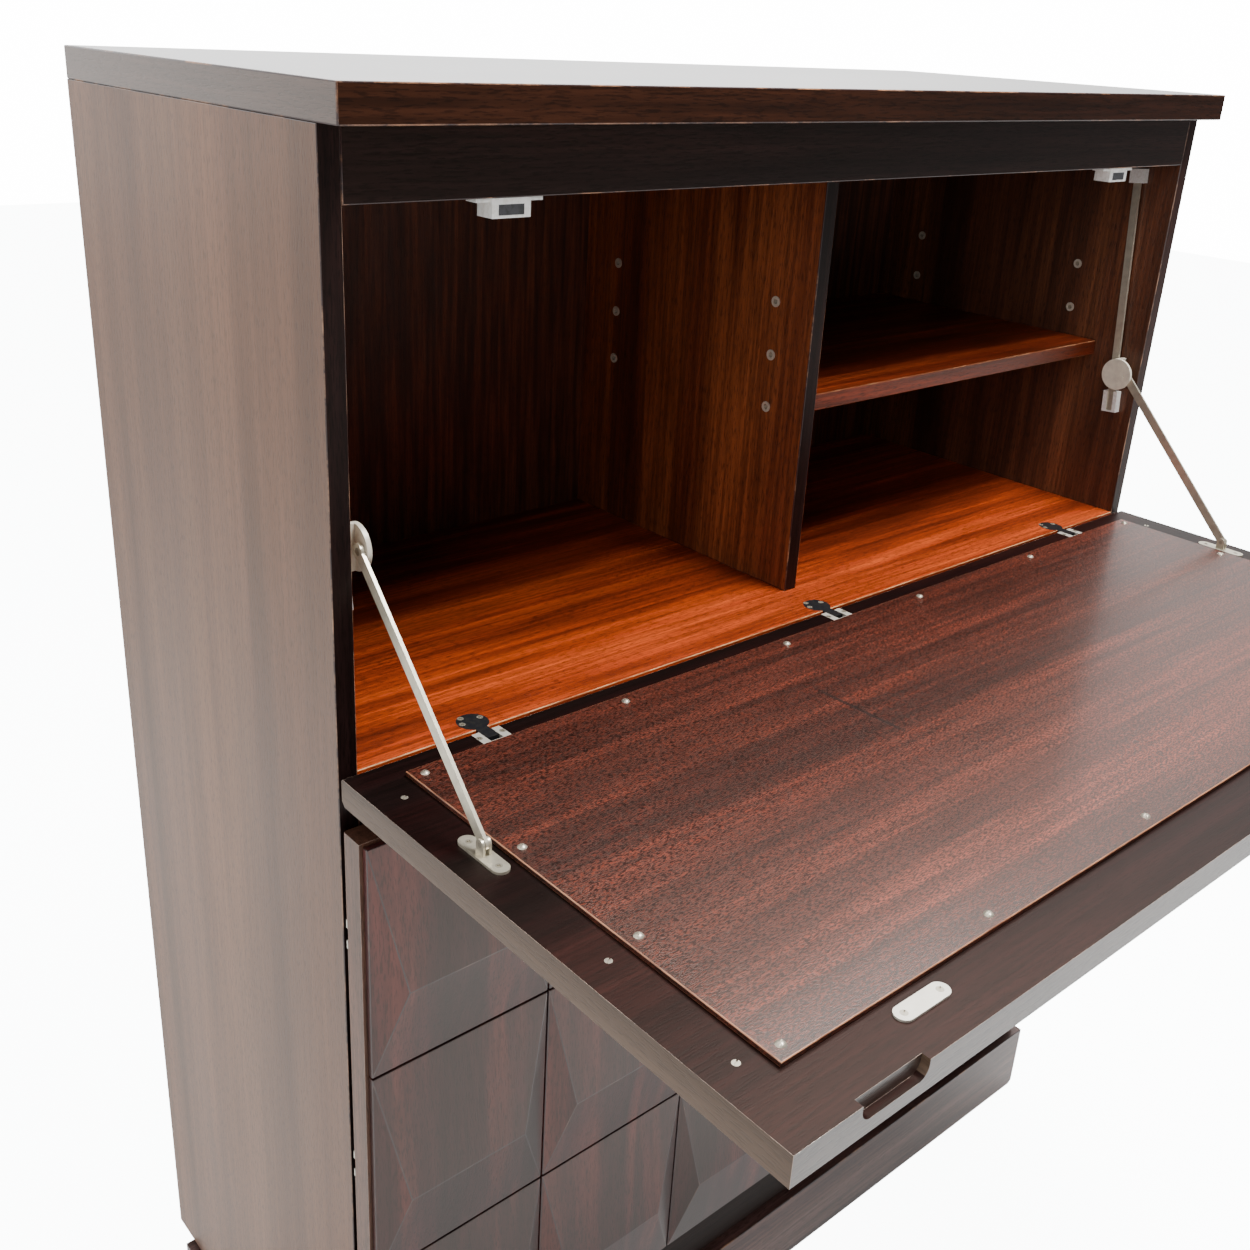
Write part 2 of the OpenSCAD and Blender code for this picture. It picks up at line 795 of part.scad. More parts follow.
// Plan view of the door board, its hinged edge bevelled on the inner face
module door_board() {
    x0 = -front_w / 2;
    x1 = x0 + door_w;
    y1 = front_y - front_gap;
    color([0.16, 0.075, 0.06]) difference() {
        translate([0, 0, door_z0]) linear_extrude(door_h) polygon([
            [x0, y1 - front_t], [x1, y1 - front_t], [x1, y1],
            [x0 + swing_bevel, y1], [x0, y1 - swing_bevel]]);
        for (z = door_hinges) door_frame(z) shut() leaf_cut();
        translate([x1 - pull_x, y1, door_z1]) shut() pull_cut();
        door_strike_place() strike_screw_set();
    }
}

module door_facets() {
    color([0.16, 0.075, 0.06])
        translate([-front_w / 2 + facet_inset, front_y - front_gap - front_t, door_z0 + facet_inset])
            facet_field(door_cols, door_rows, door_col_w, door_pitch);
}

module door_strike_place() {
    translate([-door_catch_x, front_y - front_gap, middle_z - magnet_z])
        rotate([-90, 0, 0]) children();
}

module door_strike() {
    color([0.78, 0.77, 0.74]) door_strike_place() strike();
}

module door_leaves() {
    color([0.86, 0.85, 0.83]) for (z = door_hinges) door_frame(z) shut() hinge_leaf();
}

module door_pins() {
    color([0.6, 0.6, 0.62]) for (z = door_hinges) door_frame(z) hinge_pin();
}

module door_screws() {
    color([0.6, 0.6, 0.6]) {
        for (z = door_hinges) door_frame(z) shut() leaf_screw_set("cross");
        door_strike_place() strike_screw_set("slot");
    }
}

// ---- stays, drawn on the left: u runs from the side panel into the cabinet ----

// The leaning frame of a rail, its lower end at the origin and Z along the rail
module rail_frame() {
    translate([-inner_x, front_y + stay_low_y, write_z + stay_low_z])
        rotate([-stay_lean, 0, 0]) children();
}

module stay_rail() {
    color([0.62, 0.58, 0.5]) rail_frame()
        block([rail_u - rail_t / 2, -rail_w / 2, 1.5], [rail_u + rail_t / 2, rail_w / 2, stay_len - 1.5]);
}

module socket(low_z, high_z) {
    difference() {
        block([0, -socket_w / 2, low_z], [socket_u, socket_w / 2, high_z]);
        block([rail_u - rail_t / 2, -rail_w / 2, 1.5], [rail_u + rail_t / 2, rail_w / 2, stay_len - 1.5]);
    }
}

module stay_sockets() {
    color([0.85, 0.84, 0.8]) for (s = [-1, 1]) mirrored_x(s) rail_frame() {
        difference() {
            socket(0, socket_h);
            block([rail_u + rail_t / 2, -rail_w / 2, 1.5], [2 * socket_u, rail_w / 2, 2 * socket_h]);
        }
        socket(stay_len - socket_top_h, stay_len);
    }
}

arm_u0 = stay_in - arm_t / 2;
arm_u1 = stay_in + arm_t / 2;

// A pin along X in the stay's own place
module cross(u0, u1, y, z, r) {
    translate([-inner_x + u0, y, z]) rotate([0, 90, 0]) cylinder(r = r, h = u1 - u0);
}

module stay_arm() {
    color([0.72, 0.68, 0.6]) difference() {
        union() {
            translate([-inner_x + arm_u0, foot_y, foot_z]) rotate([arm_tilt, 0, 0])
                translate([0, 0, -arm_w / 2]) cube([arm_t, arm_len, arm_w]);
            cross(arm_u0, arm_u1, foot_y, foot_z, arm_w / 2);
            cross(arm_u0, arm_u1, front_y + brake_y, brake_z, arm_w / 2 + 1.5);
        }
        cross(arm_u0 - 1, arm_u1 + 1, foot_y, foot_z, pin_r + pin_play);
        cross(arm_u0 - 1, arm_u1 + 1, front_y + brake_y, brake_z, pin_r + 1);
    }
}

disc_y = front_y + brake_y + disc_back;
brake_u0 = arm_u0 - arm_slack;
brake_u1 = arm_u1 + arm_slack;

// The brake: a carriage on the rail, a wall behind the arm's end, and the round cap
module stay_brake() {
    color([0.86, 0.85, 0.82]) difference() {
        union() {
            cross(brake_u1, brake_u1 + disc_t, disc_y, brake_z, disc_d / 2);
            intersection() {
                cross(rail_u - 3, brake_u1, disc_y, brake_z, disc_d / 2);
                block([-inner_x, disc_y - 1, brake_z - disc_d], [0, disc_y + disc_d, brake_z + disc_d]);
            }
        }
        rail_frame() block([rail_u - rail_t / 2 - rail_slack, -rail_w / 2 - rail_slack, -disc_d],
            [rail_u + rail_t / 2 + rail_slack, rail_w / 2 + rail_slack, stay_len]);
        cross(brake_u1 + disc_t - 1, brake_u1 + 2 * disc_t, front_y + brake_y, brake_z, 1.6);
        cross(rail_u - 3, rail_u + 3, disc_y + disc_d / 2 + 1, brake_z, knob_r);
    }
}

knob_r = 3.4;

// The brake's adjusting knob, set in the rear of the disc
module brake_knob() {
    color([0.86, 0.85, 0.82])
        cross(rail_u - 2.5, rail_u + 2.5, disc_y + disc_d / 2 + 1, brake_z, knob_r - slack);
}

module stay_foot_place(side) {
    mirrored_x(side) translate([-inner_x + stay_in, foot_y, write_z]) rotate([0, 0, 90]) children();
}

module foot_screw_set(drive = "none") {
    for (s = [-1, 1]) translate([s * foot_hole, 0, foot_t]) flush_screw(drive);
}

module stay_foot() {
    cheek_in = arm_t / 2 + 0.35;
    difference() {
        union() {
            stadium(foot_len, foot_w, foot_t);
            for (s = [-1, 1]) translate([0, s * (cheek_in + cheek_t / 2), 0]) {
                block([-lug_r, -cheek_t / 2, 0], [lug_r, cheek_t / 2, foot_rise]);
                translate([0, 0, foot_rise]) rotate([90, 0, 0])
                    cylinder(r = lug_r, h = cheek_t, center = true);
            }
        }
        translate([0, 0, foot_rise]) rotate([90, 0, 0])
            cylinder(r = pin_r, h = 2 * foot_w, center = true);
        foot_screw_set();
    }
}

module stay_feet() {
    color([0.8, 0.79, 0.76]) for (s = [-1, 1]) stay_foot_place(s) stay_foot();
}

module stay_foot_pins() {
    pin_l = arm_t + 0.7 + 2 * cheek_t;
    color([0.6, 0.6, 0.62]) for (s = [-1, 1]) stay_foot_place(s)
        translate([0, 0, foot_rise]) rotate([90, 0, 0]) cylinder(r = pin_r, h = pin_l, center = true);
}

top_panel();
side_left();
side_right();
back_panel();
fascia_rail();
middle_rail();
bottom_rail();
bottom_panel();
compartment_floor();
cupboard_floor();
upper_divider();
upper_shelf();
lower_divider();
lower_shelf_left();
lower_shelf_right();
shelf_sleeves();
shelf_pins();
base_front();
base_rear();
base_end_left();
base_end_right();
base_brace();
base_spacers();
magnetic_catches();
catch_magnets();
hinge_plates();
hinge_plate_screws();
stay_rail();  // stay_rail_left
mirrored_x(1) stay_rail();  // stay_rail_right
stay_sockets();
flap_board();
flap_panel();
flap_facets();
panel_screws();
frame_screws();
flap_strikes();
flap_hinge_leaves();
flap_hinge_pins();
flap_fitting_screws();
stay_feet();
stay_foot_pins();
door_board();  // door_left_board
door_facets();  // door_left_facets
door_leaves();  // door_left_leaves
door_pins();  // door_left_pins
door_strike();  // door_left_strike
door_screws();  // door_left_screws
mirrored_x(1) door_board();  // door_right_board
mirrored_x(1) door_facets();  // door_right_facets
mirrored_x(1) door_leaves();  // door_right_leaves
mirrored_x(1) door_pins();  // door_right_pins
mirrored_x(1) door_strike();  // door_right_strike
mirrored_x(1) door_screws();  // door_right_screws
stay_arm();  // stay_arm_left
mirrored_x(1) stay_arm();  // stay_arm_right
stay_brake();  // stay_brake_left
mirrored_x(1) stay_brake();  // stay_brake_right
brake_knob();  // brake_knob_left
mirrored_x(1) brake_knob();  // brake_knob_right
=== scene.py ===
import math
import bmesh
import bpy
from mathutils import Matrix, Vector


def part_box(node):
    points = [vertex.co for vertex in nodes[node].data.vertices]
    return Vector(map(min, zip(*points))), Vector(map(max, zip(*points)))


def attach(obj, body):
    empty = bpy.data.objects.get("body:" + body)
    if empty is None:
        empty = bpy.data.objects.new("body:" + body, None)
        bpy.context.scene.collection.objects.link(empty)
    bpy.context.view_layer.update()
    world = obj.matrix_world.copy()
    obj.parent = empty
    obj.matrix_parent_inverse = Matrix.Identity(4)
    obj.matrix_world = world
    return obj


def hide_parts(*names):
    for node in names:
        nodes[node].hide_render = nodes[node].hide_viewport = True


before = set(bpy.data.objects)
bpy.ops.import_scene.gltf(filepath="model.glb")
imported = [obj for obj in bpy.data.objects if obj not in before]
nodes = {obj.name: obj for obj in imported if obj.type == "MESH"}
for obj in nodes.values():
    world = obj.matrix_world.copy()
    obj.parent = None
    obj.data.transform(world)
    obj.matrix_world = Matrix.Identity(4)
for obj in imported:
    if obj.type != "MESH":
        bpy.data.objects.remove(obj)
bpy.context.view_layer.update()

# ---------------------------------------------------------------- studio
# A pale seamless floor and pale walls that darken towards the front right. The camera is held
# just above the height of the cabinet's top, off its front left corner. Three soft boxes light
# the cabinet, from above its front, from the left and from above its rear.


def added(tree, kind, **values):
    """A new node with its number and colour sockets set by name."""
    made = tree.nodes.new(kind)
    for socket, value in values.items():
        made.inputs[socket.replace("_", " ").title()].default_value = value
    return made


def scaled(tree, source, factor, plus=0.0):
    """A number times a factor, plus a number or another socket."""
    made = tree.nodes.new("ShaderNodeMath")
    made.operation = "MULTIPLY_ADD"
    made.inputs[1].default_value = factor
    tree.links.new(source, made.inputs[0])
    if isinstance(plus, float):
        made.inputs[2].default_value = plus
    else:
        tree.links.new(plus, made.inputs[2])
    return made.outputs["Value"]


def ramp(tree, source, stops):
    """A colour ramp. The tone of a stop is a colour, or one number for a grey."""
    made = tree.nodes.new("ShaderNodeValToRGB")
    band = made.color_ramp
    while len(band.elements) < len(stops):
        band.elements.new(0.5)
    for stop, (place, tone) in zip(band.elements, stops):
        stop.position = place
        stop.color = (*tone, 1.0) if isinstance(tone, tuple) else (tone, tone, tone, 1.0)
    tree.links.new(source, made.inputs["Fac"])
    return made.outputs["Color"]


scene = bpy.context.scene
eye = Vector((-0.9330, -0.9233, 1.3799))
yaw, pitch, roll = 0.7308, -0.3926, 0.0552
ahead = Vector((math.sin(yaw) * math.cos(pitch), math.cos(yaw) * math.cos(pitch), math.sin(pitch)))
level = Vector((math.cos(yaw), -math.sin(yaw), 0.0))
above = level.cross(ahead)
right = math.cos(roll) * level + math.sin(roll) * above
up = math.cos(roll) * above - math.sin(roll) * level
camera = bpy.data.objects.new("camera", bpy.data.cameras.new("camera"))
camera.matrix_world = Matrix.Translation(eye) @ Matrix((right, up, -ahead)).transposed().to_4x4()
camera.data.sensor_width = 36.0
camera.data.lens = 38.74
camera.data.shift_x = 0.0038
camera.data.shift_y = -0.0366
camera.data.clip_end = 60.0
scene.collection.objects.link(camera)
scene.camera = camera

floor_reach = 9.0
floor_glow_seen, floor_glow_mirrored = 11.0, 0.55
floor_shape = bmesh.new()
bmesh.ops.create_grid(floor_shape, x_segments=2, y_segments=2, size=floor_reach)
floor_mesh = bpy.data.meshes.new("studio_floor")
floor_shape.to_mesh(floor_mesh)
floor_shape.free()
studio_floor = bpy.data.objects.new("studio_floor", floor_mesh)
scene.collection.objects.link(studio_floor)
floor_paint = bpy.data.materials.new("studio_floor_paint")
floor_paint.use_nodes = True
floor_tree = floor_paint.node_tree
floor_shader = floor_tree.nodes["Principled BSDF"]
floor_shader.inputs["Base Color"].default_value = (0.86, 0.87, 0.86, 1.0)
floor_shader.inputs["Roughness"].default_value = 0.55
floor_shader.inputs["Emission Color"].default_value = (0.97, 1.0, 1.0, 1.0)
floor_path = floor_tree.nodes.new("ShaderNodeLightPath")
floor_mirrored = scaled(floor_tree, floor_path.outputs["Is Glossy Ray"], floor_glow_mirrored)
floor_glow = scaled(floor_tree, floor_path.outputs["Is Camera Ray"], floor_glow_seen, floor_mirrored)
floor_tree.links.new(floor_glow, floor_shader.inputs["Emission Strength"])
floor_mesh.materials.append(floor_paint)


def softbox(name, place, aim, size, power):
    data = bpy.data.lights.new(name, "AREA")
    data.shape = "RECTANGLE"
    data.size, data.size_y = size
    data.energy = power
    lamp = bpy.data.objects.new(name, data)
    lamp.location = place
    lamp.rotation_euler = (Vector(aim) - Vector(place)).to_track_quat("-Z", "Y").to_euler()
    scene.collection.objects.link(lamp)


softbox("light_key", place=(0.55, -0.88, 3.1), aim=(0.1, -0.35, 0.9), size=(1.2, 0.6), power=125)
softbox("light_fill", place=(-2.9, -1.4, 1.7), aim=(0.0, 0.0, 0.8), size=(2.4, 2.4), power=34)
softbox("light_above", place=(0.7, 0.6, 3.2), aim=(0.0, -0.3, 0.9), size=(2.4, 2.0), power=90)

wall_tone_dark, wall_tone_pale = (0.05, 0.05, 0.055), (1.0, 1.0, 1.0)
wall_glow, wall_glow_seen, wall_glow_mirrored = 0.7, 15.0, 1.5
pale_side = Vector((-0.45, 0.85, 0.25)).normalized()
world = bpy.data.worlds.new("studio_walls")
world.use_nodes = True
scene.world = world
walls = world.node_tree
walls.nodes.clear()
wall_where = walls.nodes.new("ShaderNodeTexCoord")
wall_turn = walls.nodes.new("ShaderNodeVectorMath")
wall_turn.operation = "DOT_PRODUCT"
wall_turn.inputs[1].default_value = pale_side
walls.links.new(wall_where.outputs["Generated"], wall_turn.inputs[0])
wall_range = walls.nodes.new("ShaderNodeMapRange")
wall_range.inputs["From Min"].default_value = -1.0
walls.links.new(wall_turn.outputs["Value"], wall_range.inputs["Value"])
wall_tone = ramp(walls, wall_range.outputs["Result"], [(0.25, wall_tone_dark), (0.62, wall_tone_pale)])
wall_path = walls.nodes.new("ShaderNodeLightPath")
wall_plain = walls.nodes.new("ShaderNodeMix")
wall_plain.data_type = "RGBA"
wall_plain.inputs["B"].default_value = (*wall_tone_pale, 1.0)
walls.links.new(wall_path.outputs["Is Camera Ray"], wall_plain.inputs["Factor"])
walls.links.new(wall_tone, wall_plain.inputs["A"])
wall_seen = scaled(walls, wall_path.outputs["Is Camera Ray"], wall_glow_seen, wall_glow)
wall_mirrored = scaled(walls, wall_path.outputs["Is Glossy Ray"], wall_glow_mirrored, wall_seen)
wall_light = walls.nodes.new("ShaderNodeBackground")
walls.links.new(wall_plain.outputs["Result"], wall_light.inputs["Color"])
walls.links.new(wall_mirrored, wall_light.inputs["Strength"])
wall_out = walls.nodes.new("ShaderNodeOutputWorld")
walls.links.new(wall_light.outputs["Background"], wall_out.inputs["Surface"])

# ---------------------------------------------------------------- top panel
# One thick board of mahogany veneer, stained nearly black-brown and polished on its upper face.
# It lies on the sides on hidden dowels, and its arrises are rubbed through to paler wood.


def coloured(name):
    """A new material with its tree, its shader and the place on the object that patterns follow."""
    finish = bpy.data.materials.new(name)
    finish.use_nodes = True
    tree = finish.node_tree
    where = tree.nodes.new("ShaderNodeTexCoord")
    return finish, tree, tree.nodes["Principled BSDF"], where.outputs["Object"]


def noise(tree, place, scale, detail=2.0, distortion=0.0, roughness=0.5):
    made = added(tree, "ShaderNodeTexNoise", scale=scale, detail=detail, distortion=distortion,
                 roughness=roughness)
    tree.links.new(place, made.inputs["Vector"])
    return made.outputs["Fac"]


def drawn_out(tree, place, grain, along, shift=(0.0, 0.0, 0.0)):
    """The place on the object, shortened along one axis so that a pattern runs long there."""
    scale = [along if axis == grain else 1.0 for axis in "XYZ"]
    laid = added(tree, "ShaderNodeMapping", location=shift, scale=scale)
    tree.links.new(place, laid.inputs["Vector"])
    return laid.outputs["Vector"]


def spread(tree, source, least, most):
    made = added(tree, "ShaderNodeMapRange", to_min=least, to_max=most)
    tree.links.new(source, made.inputs["Value"])
    return made.outputs["Result"]


def mahogany(name, grain, deep, mid, bright, ribbon=11.0, shine=0.34, coat=0.2, shift=(0.0, 0.0, 0.0),
             pore_depth=0.6, fibre_depth=0.5, figure=0.5, pore_size=0.0011, relief_depth=0.35, warmth=0.5,
             gloss=0.5, coat_index=1.5, pore_length=0.11, pore_dark=0.15, pore_share=0.35):
    """Stained veneer: broad ribbons, fine fibres and short dark pores, all along the grain axis."""
    ribbon_draw, cloud_draw, fibre_draw, thread_draw = 0.05, 0.25, 0.03, 0.02
    fibre_count, thread_count, pore_relief = 330.0, 90.0, 0.0003
    veneer, tree, shader, where = coloured(name)

    def along_grain(draw, scale, detail=2.0, distortion=0.0):
        return noise(tree, drawn_out(tree, where, grain, draw, shift), scale, detail, distortion)

    def darkened(amount, tone, shade):
        made = tree.nodes.new("ShaderNodeMix")
        made.data_type = "RGBA"
        made.blend_type = "MULTIPLY"
        made.inputs["Factor"].default_value = amount
        tree.links.new(tone, made.inputs["A"])
        tree.links.new(shade, made.inputs["B"])
        return made.outputs["Result"]

    ribbons = along_grain(ribbon_draw, ribbon, detail=3.0, distortion=0.4)
    clouds = along_grain(cloud_draw, ribbon * 0.45, distortion=0.2)
    fibres = along_grain(fibre_draw, fibre_count, detail=3.0)
    threads = along_grain(thread_draw, thread_count)
    pores = along_grain(pore_length, 1.0 / pore_size)
    tone = ramp(tree, ribbons, [(0.36, deep), (0.5, mid), (0.64, bright)])
    tone = darkened(figure, tone, ramp(tree, clouds, [(0.35, 0.62), (0.65, 1.0)]))
    tone = darkened(fibre_depth, tone, ramp(tree, fibres, [(0.38, 0.40), (0.62, 1.5)]))
    tone = darkened(fibre_depth, tone, ramp(tree, threads, [(0.38, 0.5), (0.62, 1.4)]))
    pore_edge, pore_blur = 0.34 + 0.26 * pore_share, 0.05
    pits = ramp(tree, pores, [(pore_edge - pore_blur, pore_dark), (pore_edge + pore_blur, 1.0)])
    tree.links.new(darkened(pore_depth, tone, pits), shader.inputs["Base Color"])
    tree.links.new(spread(tree, clouds, shine - 0.07, shine + 0.09), shader.inputs["Roughness"])
    shader.inputs["Coat Weight"].default_value = coat
    shader.inputs["Coat Roughness"].default_value = shine * 0.55
    shader.inputs["Specular IOR Level"].default_value = gloss
    shader.inputs["Coat IOR"].default_value = coat_index
    shader.inputs["Specular Tint"].default_value = (1.0, 1.0 - 0.22 * warmth, 1.0 - 0.36 * warmth, 1.0)
    shader.inputs["Coat Tint"].default_value = (1.0, 1.0 - 0.12 * warmth, 1.0 - 0.2 * warmth, 1.0)
    relief = added(tree, "ShaderNodeBump", strength=relief_depth, distance=pore_relief)
    tree.links.new(pits, relief.inputs["Height"])
    tree.links.new(relief.outputs["Normal"], shader.inputs["Normal"])
    return veneer


def rubbed_arris(name, dark, pale, amount):
    """A lacquered edge worn through in places: the larger the amount, the more bare wood."""
    wood, tree, shader, where = coloured(name)
    patch_count = 26.0
    whole, bare = 0.62 - 0.3 * amount, 0.80 - 0.3 * amount
    patches = noise(tree, where, patch_count, detail=6.0, roughness=0.7)
    tree.links.new(ramp(tree, patches, [(whole, dark), (bare, pale)]), shader.inputs["Base Color"])
    shader.inputs["Roughness"].default_value = 0.38
    shader.inputs["Coat Weight"].default_value = 0.3
    return wood


def eased(node, body, wood, arris, width=0.0009, shortest=0.02):
    """The board as the machine left it: a merged copy of the CAD board with its long arrises eased."""
    weld, flat_turn, corner_turn, crease = 0.000002, 0.6, 8.0, 32.0
    arris_widths, sliver_area = 1.6, 0.00003
    shape = bmesh.new()
    shape.from_mesh(nodes[node].data)
    bmesh.ops.remove_doubles(shape, verts=shape.verts, dist=weld)
    bmesh.ops.dissolve_limit(shape, angle_limit=math.radians(flat_turn), verts=shape.verts,
                             edges=shape.edges)
    for face in shape.faces:
        face.material_index = 0
    corners = [edge for edge in shape.edges if len(edge.link_faces) == 2
               and edge.calc_length() > shortest and edge.calc_face_angle(0.0) > math.radians(corner_turn)]
    made = bmesh.ops.bevel(shape, geom=corners, offset=width, offset_type="OFFSET", affect="EDGES",
                           segments=2, profile=0.5, material=-1, clamp_overlap=True)
    for face in made["faces"]:
        if face.calc_area() < arris_widths * width * max(edge.calc_length() for edge in face.edges):
            face.material_index = 1
    mesh = bpy.data.meshes.new(node + "_board")
    shape.to_mesh(mesh)
    shape.free()
    if "custom_normal" in mesh.attributes:
        mesh.attributes.remove(mesh.attributes["custom_normal"])
    mesh.set_sharp_from_angle(angle=math.radians(crease))
    for face in mesh.polygons:
        face.use_smooth = face.material_index == 1 or face.area < sliver_area
    mesh.materials.append(wood)
    mesh.materials.append(arris)
    piece = bpy.data.objects.new(node + "_piece", mesh)
    scene.collection.objects.link(piece)
    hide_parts(node)
    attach(piece, body)
    return piece


def veneered(board, wood, *directions):
    """Another veneer on the board's faces that look these ways; its arrises stay as they are."""
    square_on = 0.7
    board.data.materials.append(wood)
    for face in board.data.polygons:
        looks_there = any(face.normal.dot(way) > square_on for way in directions)
        if face.material_index == 0 and looks_there:
            face.material_index = len(board.data.materials) - 1


upward, frontward = Vector((0.0, 0.0, 1.0)), Vector((0.0, -1.0, 0.0))
leftward, rightward = Vector((-1.0, 0.0, 0.0)), Vector((1.0, 0.0, 0.0))


top_wood = mahogany("top_veneer", "X", (0.012, 0.004, 0.003), (0.024, 0.008, 0.004), (0.046, 0.014, 0.006),
                    shine=0.42, coat=0.0, warmth=1.0, gloss=0.15, relief_depth=0.15)
top_polish = mahogany("top_polish", "X", (0.030, 0.014, 0.011), (0.060, 0.028, 0.022),
                      (0.100, 0.050, 0.040), shine=0.22, coat=1.0, warmth=0.2, coat_index=2.4)
top_end_wood = mahogany("top_end_veneer", "Y", (0.024, 0.012, 0.009), (0.048, 0.025, 0.019),
                        (0.130, 0.070, 0.053), shine=0.36, coat=0.5, warmth=1.0)
dark_arris = rubbed_arris("rubbed_dark_arris", (0.03, 0.010, 0.008), (0.42, 0.20, 0.10), amount=0.42)
top_board = eased("top_panel", "cabinet", top_wood, dark_arris, width=0.0011)
veneered(top_board, top_polish, upward)
veneered(top_board, top_end_wood, leftward, rightward)

# ---------------------------------------------------------------- side panels
# Two tall boards with the grain standing up. The outside has a satin lacquer that greys in the
# light, and its tones are lightened with painted sheen. The inner faces are darkened with painted
# shade, the front edges are given a near-black tone that is painted shadow over their grain, and the arrises
# are worn pale.

# Painted sheen: the outside's tones are lightened to stand in for the grey sheen that the light leaves on
# the lacquer.
side_wood_and_sheen = mahogany("side_veneer_and_painted_sheen", "Z", (0.099, 0.043, 0.022), (0.165, 0.075, 0.042), (0.232, 0.112, 0.063),
                     ribbon=14.0, shine=0.46, coat=0.2, pore_depth=0.4, fibre_depth=0.16, warmth=1.0,
                     pore_length=0.16, pore_size=0.0013)
side_arris = rubbed_arris("rubbed_side_arris", (0.03, 0.012, 0.009), (0.36, 0.20, 0.12), amount=0.55)
# Painted shade: the inner faces' tones are darkened to stand in for the shade inside the carcass.
inner_wood_and_shade = mahogany("inner_veneer_and_painted_shade", "Z", (0.043, 0.013, 0.006), (0.102, 0.032, 0.014),
                      (0.170, 0.056, 0.022), ribbon=14.0, shine=0.42, coat=0.1, shift=(3.0, 1.0, 0.0))
# Painted shadow: the front edges' near-black tones stand in for the shadow that falls on them.
edge_shadow_wood = mahogany("front_edge_painted_shadow", "Z", (0.009, 0.004, 0.004), (0.016, 0.006, 0.005),
                     (0.031, 0.010, 0.007), shine=0.34, coat=0.0, shift=(0.0, 5.0, 0.0), gloss=0.15,
                     relief_depth=0.15)
for side, inward in (("side_left", rightward), ("side_right", leftward)):
    panel = eased(side, "cabinet", side_wood_and_sheen, side_arris)
    veneered(panel, inner_wood_and_shade, inward)
    veneered(panel, edge_shadow_wood, frontward)

# ---------------------------------------------------------------- rails
# Three rails across the front, dowelled between the sides: the fascia under the top, one under
# the writing compartment and the plain rail below the doors. Their veneer runs along them.

rail_wood = mahogany("rail_veneer", "X", (0.010, 0.005, 0.005), (0.020, 0.009, 0.008), (0.040, 0.015, 0.012),
                     shine=0.45, coat=0.0, shift=(0.0, 2.0, 4.0), warmth=1.0, gloss=0.2, relief_depth=0.15)
for rail in ("fascia_rail", "middle_rail", "bottom_rail"):
    eased(rail, "cabinet", rail_wood, dark_arris)

# ---------------------------------------------------------------- back panel
# A veneered panel fixed between the sides at the rear of the carcass. Its veneer is cut to
# narrow upright stripes and has a plain satin finish.

back_wood = mahogany("back_veneer", "Z", (0.044, 0.013, 0.006), (0.093, 0.027, 0.012), (0.158, 0.049, 0.020),
                     ribbon=170.0, shine=0.5, coat=0.0, shift=(7.0, 0.0, 0.0), figure=0.15,
                     fibre_depth=0.35, pore_depth=0.4)
eased("back_panel", "cabinet", back_wood, dark_arris, width=0.0008)

# ---------------------------------------------------------------- floors and shelves
# The compartment's floor is veneer under a clear lacquer, so it keeps its orange red, and the
# cupboard's boards match it. The upper shelf is darker: its tones and its arrises' tones are painted
# shade for the fascia's shadow over it. The shelves lie loose on pins.

floor_wood = mahogany("floor_veneer", "X", (0.190, 0.024, 0.005), (0.340, 0.042, 0.008),
                      (0.540, 0.078, 0.013), ribbon=34.0, shine=0.36, coat=0.15, warmth=1.0,
                      fibre_depth=0.5, pore_depth=0.6, shift=(0.0, 0.3, 0.0), figure=0.5, pore_size=0.001)
floor_arris = rubbed_arris("rubbed_floor_arris", (0.30, 0.10, 0.03), (0.62, 0.34, 0.16), amount=0.7)
eased("compartment_floor", "cabinet", floor_wood, floor_arris)
# Painted shade: the upper shelf's tones are the floor's darkened, standing in for the fascia's shadow over
# it.
shelf_wood_and_shade = mahogany("shelf_veneer_and_painted_shade", "X", (0.100, 0.013, 0.003), (0.190, 0.024, 0.005),
                      (0.310, 0.046, 0.009), ribbon=34.0, shine=0.36, coat=0.1, warmth=1.0,
                      shift=(0.6, 0.9, 0.0), figure=0.5)
shelf_arris_and_shade = rubbed_arris("rubbed_shelf_arris_and_painted_shade", (0.20, 0.06, 0.02), (0.45, 0.22, 0.10), amount=0.5)
eased("upper_shelf", "cabinet", shelf_wood_and_shade, shelf_arris_and_shade, width=0.0008)
for board in ("cupboard_floor", "lower_shelf_left", "lower_shelf_right", "bottom_panel"):
    eased(board, "cabinet", floor_wood, dark_arris, width=0.0008)

# ---------------------------------------------------------------- dividers
# Two upright boards, dowelled between the floors, that part the bays. They are veneered in orange
# brown, and their front edges carry the same near-black painted shadow as the sides' front edges.

divider_wood = mahogany("divider_veneer", "Z", (0.084, 0.019, 0.008), (0.179, 0.044, 0.016),
                        (0.294, 0.081, 0.027), ribbon=22.0, shine=0.40, coat=0.1, shift=(1.0, 4.0, 0.0))
for board in ("upper_divider", "lower_divider"):
    panel = eased(board, "cabinet", divider_wood, dark_arris)
    veneered(panel, edge_shadow_wood, frontward)

# ---------------------------------------------------------------- plinth
# Four veneered boards and a bearer with butted corners stand under the cabinet; their tones are
# lightened with painted sheen. Battens on top of them hold the carcass a little way up, and their
# near-black paint is painted shade for the dark gap.


def speckled(name, rough, stops, speck_count=320.0, detail=6.0):
    """A paint or a plastic with fine specks of another tone."""
    paint, tree, shader, where = coloured(name)
    tree.links.new(ramp(tree, noise(tree, where, speck_count, detail), stops), shader.inputs["Base Color"])
    shader.inputs["Roughness"].default_value = rough
    return paint


def dressed(names, finish):
    """The finish put on CAD pieces that are shown as they are."""
    for name in names:
        nodes[name].data.materials.clear()
        nodes[name].data.materials.append(finish)
